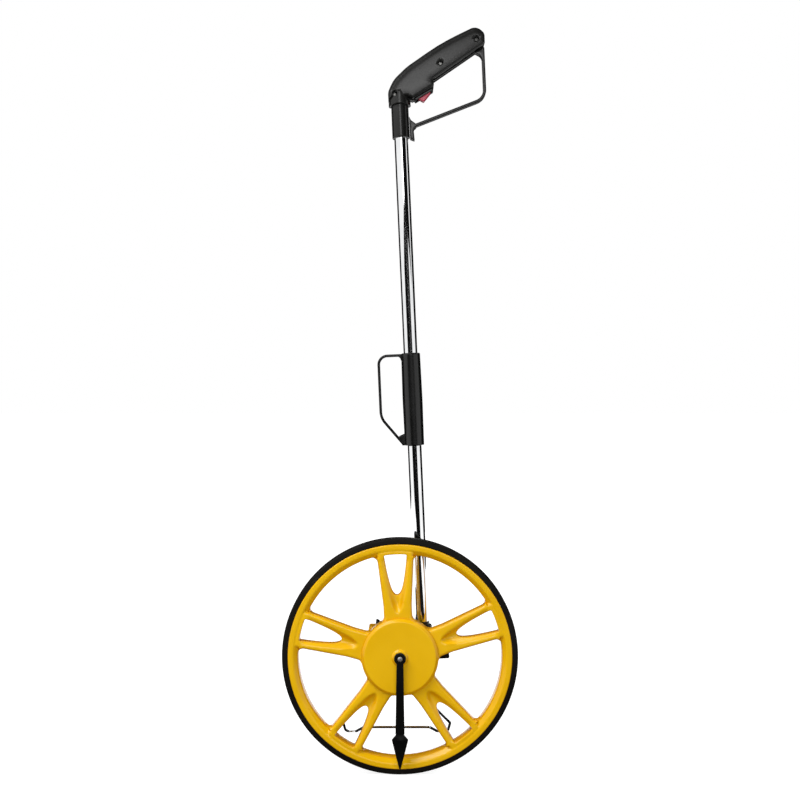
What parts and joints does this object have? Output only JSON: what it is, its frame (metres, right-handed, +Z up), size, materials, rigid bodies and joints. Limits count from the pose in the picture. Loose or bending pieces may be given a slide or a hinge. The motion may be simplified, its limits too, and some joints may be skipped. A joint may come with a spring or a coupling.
{
  "type": "measuring wheel",
  "caption": "Folding measuring wheel: five-spoke wheel with pointer, geared counter, wire side stand, chromed two-part shaft with lock sleeve, and pistol handle with trigger and guard.",
  "frame": {"origin": "on the ground under the axle, in the wheel's middle plane, where the tyre's flat facet rests", "axes": "+Z up; +X towards the user's side, the way the handle's grip points; +Y from the wheel's open face to the counter and the stand"},
  "size_m": [0.318, 0.2182, 1.0152],
  "materials": {
    "yellow_plastic": "moulded, gloss",
    "black_plastic": "fine moulded grain",
    "satin_black": "satin",
    "tyre_rubber": "matt rubber",
    "chrome": "bright plated",
    "zinc_steel": "zinc plated",
    "brass": "turned",
    "white_nylon": "natural nylon",
    "red_plastic": "moulded",
    "clear_plastic": "clear",
    "drum_white": "printed white"
  },
  "bodies": {
    "chassis": {"axle": "zinc_steel", "hub_washer": "zinc_steel", "thrust_washer": "brass", "axle_washer": "zinc_steel", "axle_nut": "zinc_steel", "pointer_screw": "zinc_steel", "axle_bracket": "black_plastic", "bracket_screw_1": "zinc_steel", "bracket_screw_2": "zinc_steel", "counter_housing": "yellow_plastic", "housing_cover": "yellow_plastic", "cover_screw_1": "zinc_steel", "cover_screw_2": "zinc_steel", "cover_screw_3": "zinc_steel", "cover_screw_4": "zinc_steel", "window_bezel": "black_plastic", "window_lens": "clear_plastic", "shaft_bush_front": "brass", "shaft_bush_rear": "brass", "lower_tube": "chrome", "clamp_bolt": "zinc_steel", "clamp_nut": "zinc_steel", "hinge_fork": "black_plastic", "hinge_pin": "zinc_steel", "stand_bracket": "black_plastic", "stand_screw_1": "zinc_steel", "stand_screw_2": "zinc_steel"},
    "wheel": {"wheel_spider": "yellow_plastic", "tyre": "tyre_rubber", "hub_cover": "yellow_plastic", "hub_bush_front": "white_nylon", "hub_bush_rear": "white_nylon", "drive_gear": "white_nylon"},
    "pointer": {"pointer_arm": "satin_black"},
    "first_drum": {"counter_shaft": "zinc_steel", "counter_gear": "white_nylon", "drum_tenths": "drum_white"},
    "second_drum": {"drum_metres": "drum_white"},
    "third_drum": {"drum_tens": "drum_white"},
    "fourth_drum": {"drum_hundreds": "drum_white"},
    "fifth_drum": {"drum_thousands": "drum_white"},
    "knob": {"reset_knob": "black_plastic"},
    "stand": {"stand_wire": "chrome"},
    "upper_shaft": {"upper_tube": "chrome", "hinge_tongue": "black_plastic", "handle_socket": "black_plastic", "handle_shell_front": "black_plastic", "handle_shell_rear": "black_plastic", "guard_bow": "black_plastic", "handle_screw_1": "zinc_steel", "handle_screw_2": "zinc_steel", "handle_screw_3": "zinc_steel", "trigger_bezel": "black_plastic", "trigger_pin": "zinc_steel", "trigger_spring": "zinc_steel"},
    "trigger_lever": {"trigger": "red_plastic"},
    "sleeve": {"lock_sleeve": "satin_black", "carry_bow": "satin_black"}
  },
  "joints": [
    {"name": "wheel_spin", "type": "hinge", "parent": "chassis", "child": "wheel", "pos_m": [0, 0, 0.159], "axis": [0, 1, 0], "continuous": true},
    {"name": "pointer_swing", "type": "hinge", "parent": "chassis", "child": "pointer", "pos_m": [0, 0, 0.159], "axis": [0, 1, 0], "continuous": true},
    {"name": "counter_spin", "type": "hinge", "parent": "chassis", "child": "first_drum", "pos_m": [-0.017, 0, 0.169], "axis": [0, 1, 0], "continuous": true},
    {"name": "metres_spin", "type": "hinge", "parent": "chassis", "child": "second_drum", "pos_m": [-0.017, 0, 0.169], "axis": [0, 1, 0], "continuous": true},
    {"name": "tens_spin", "type": "hinge", "parent": "chassis", "child": "third_drum", "pos_m": [-0.017, 0, 0.169], "axis": [0, 1, 0], "continuous": true},
    {"name": "hundreds_spin", "type": "hinge", "parent": "chassis", "child": "fourth_drum", "pos_m": [-0.017, 0, 0.169], "axis": [0, 1, 0], "continuous": true},
    {"name": "thousands_spin", "type": "hinge", "parent": "chassis", "child": "fifth_drum", "pos_m": [-0.017, 0, 0.169], "axis": [0, 1, 0], "continuous": true},
    {"name": "reset_spin", "type": "hinge", "parent": "chassis", "child": "knob", "pos_m": [-0.017, 0, 0.169], "axis": [0, 1, 0], "continuous": true},
    {"name": "stand_fold", "type": "hinge", "parent": "chassis", "child": "stand", "pos_m": [-0.0049, 0.083, 0.0865], "axis": [1, 0, 0], "range_deg": [0, 128]},
    {"name": "shaft_fold", "type": "hinge", "parent": "chassis", "child": "upper_shaft", "pos_m": [0.01867, 0.0325, 0.4735], "axis": [0, 1, 0], "range_deg": [0, 140]},
    {"name": "trigger_press", "type": "hinge", "parent": "upper_shaft", "child": "trigger_lever", "pos_m": [0.03598, 0.0325, 0.93408], "axis": [0, 1, 0], "range_deg": [0, 16], "stiffness_Nm_per_rad": 0.05, "springref_deg": -17.19},
    {"name": "sleeve_slide", "type": "slide", "parent": "upper_shaft", "child": "sleeve", "axis": [-0.0436, 0, 0.999], "range_m": [0, 0.21]}
  ],
  "couplings": [
    {"joint": "counter_spin", "follows": "wheel_spin", "ratio": -1},
    {"joint": "metres_spin", "follows": "wheel_spin", "ratio": -0.1},
    {"joint": "tens_spin", "follows": "wheel_spin", "ratio": -0.01},
    {"joint": "hundreds_spin", "follows": "wheel_spin", "ratio": -0.001},
    {"joint": "thousands_spin", "follows": "wheel_spin", "ratio": -0.0001},
    {"joint": "sleeve_slide", "follows": "shaft_fold", "m_per_rad": 0.085}
  ]
}
